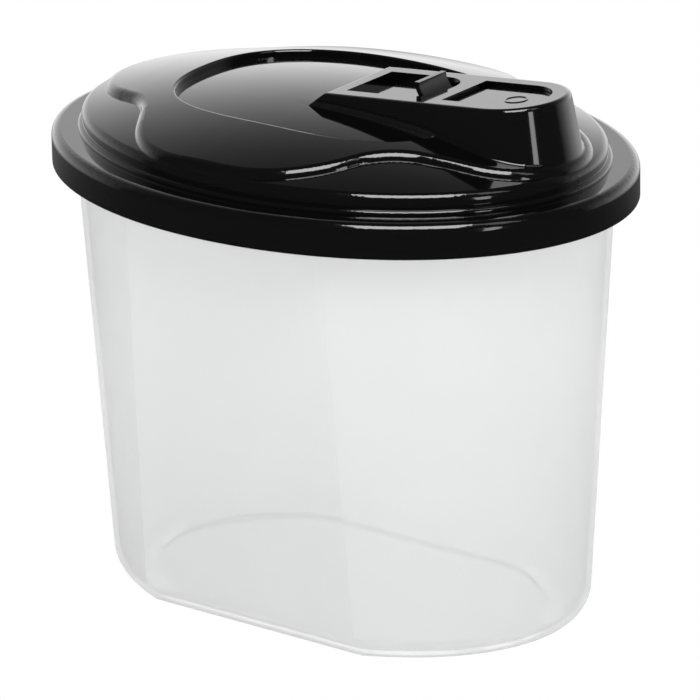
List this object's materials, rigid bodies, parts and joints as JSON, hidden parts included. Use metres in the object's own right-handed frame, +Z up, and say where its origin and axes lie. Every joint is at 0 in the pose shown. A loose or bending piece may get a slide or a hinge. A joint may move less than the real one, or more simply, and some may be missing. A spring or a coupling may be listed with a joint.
{
  "type": "cereal container",
  "caption": "Tapered oval food container in milky plastic with flat side panels and a glossy domed press-on lid that carries a rocking pour-spout flap.",
  "frame": {"origin": "middle of the flat foot that the container stands on", "axes": "+Z up, +X along the oval towards the spout, +Y to the back, the part is the same on both sides of Y = 0"},
  "size_m": [0.2, 0.1522, 0.1769],
  "materials": {
    "milky_polypropylene": "translucent, smooth moulded",
    "black_polypropylene": "high gloss moulded",
    "black_polypropylene_flap": "high gloss moulded"
  },
  "bodies": {
    "container": {"container": "milky_polypropylene"},
    "lid": {"lid": "black_polypropylene"},
    "flap": {"spout_flap": "black_polypropylene_flap"}
  },
  "joints": [
    {"name": "lid_lift", "type": "slide", "parent": "container", "child": "lid", "axis": [0, 0, 1], "range_m": [0, 0.06]},
    {"name": "flap_hinge", "type": "hinge", "parent": "lid", "child": "flap", "pos_m": [0.05, 0, 0.17056], "axis": [0, -1, 0], "range_deg": [0, 60]}
  ]
}
